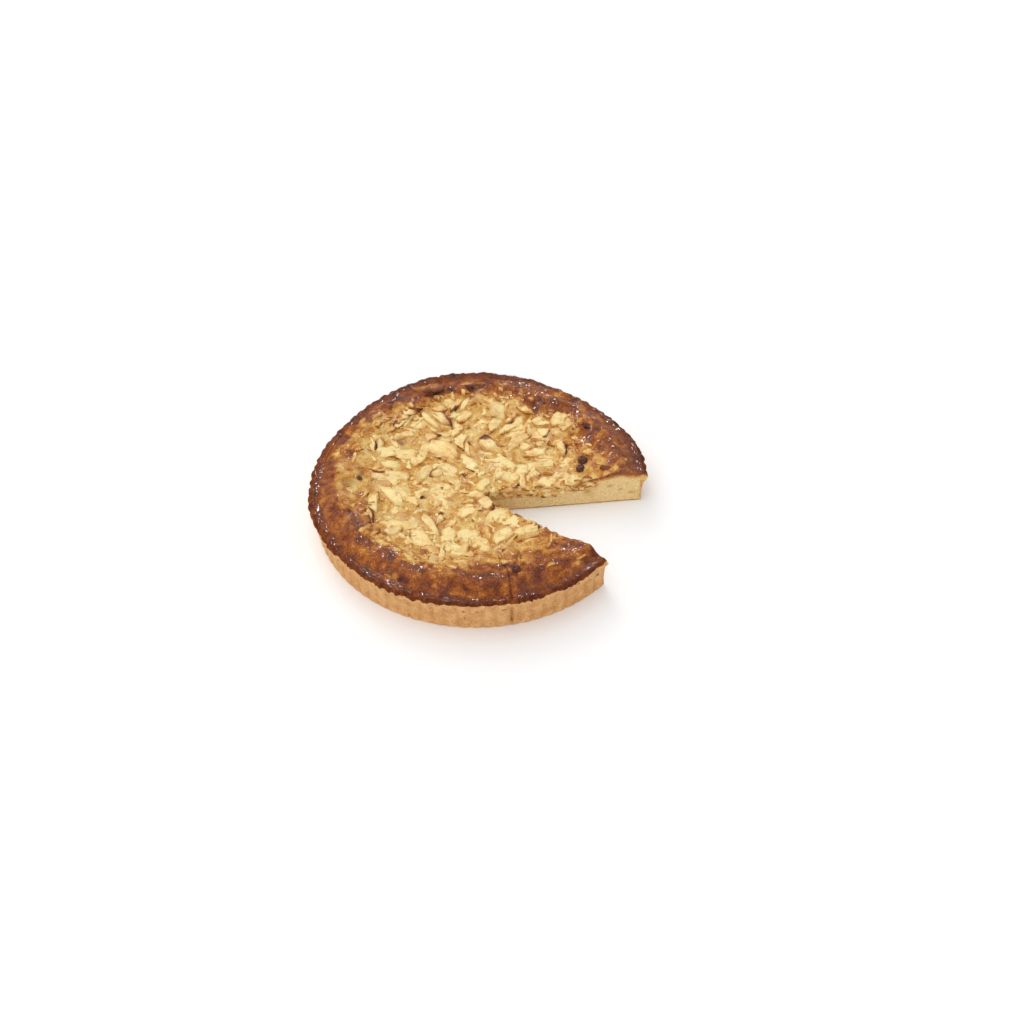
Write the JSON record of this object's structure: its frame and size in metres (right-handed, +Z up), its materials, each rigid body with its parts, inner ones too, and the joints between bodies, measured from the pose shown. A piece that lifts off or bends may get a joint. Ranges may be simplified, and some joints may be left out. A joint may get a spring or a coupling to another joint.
{
  "type": "apple tart",
  "caption": "Round baked apple tart with a fluted side, a browned domed border and a heap of apple slices, one wedge cut out so the crumb and the apple layer show.",
  "frame": {"origin": "centre of the flat underside of the round tart, on the plane it rests on", "axes": "+Z up through the tart; the missing wedge opens towards +X, between about 6 degrees to +Y and 39 degrees to -Y of it"},
  "size_m": [0.2718, 0.2726, 0.0365],
  "materials": {
    "baked_crust": "satin, browned and partly glazed",
    "baked_apple": "moist satin",
    "raisin_skin": "wrinkled satin",
    "scorched_apple": "satin"
  },
  "bodies": {
    "root": {"cake": "baked_crust", "apple_topping": "baked_apple", "raisin_1": "raisin_skin", "raisin_2": "raisin_skin", "raisin_3": "raisin_skin", "raisin_4": "raisin_skin", "raisin_5": "raisin_skin", "scorched_slice": "scorched_apple"}
  },
  "joints": []
}
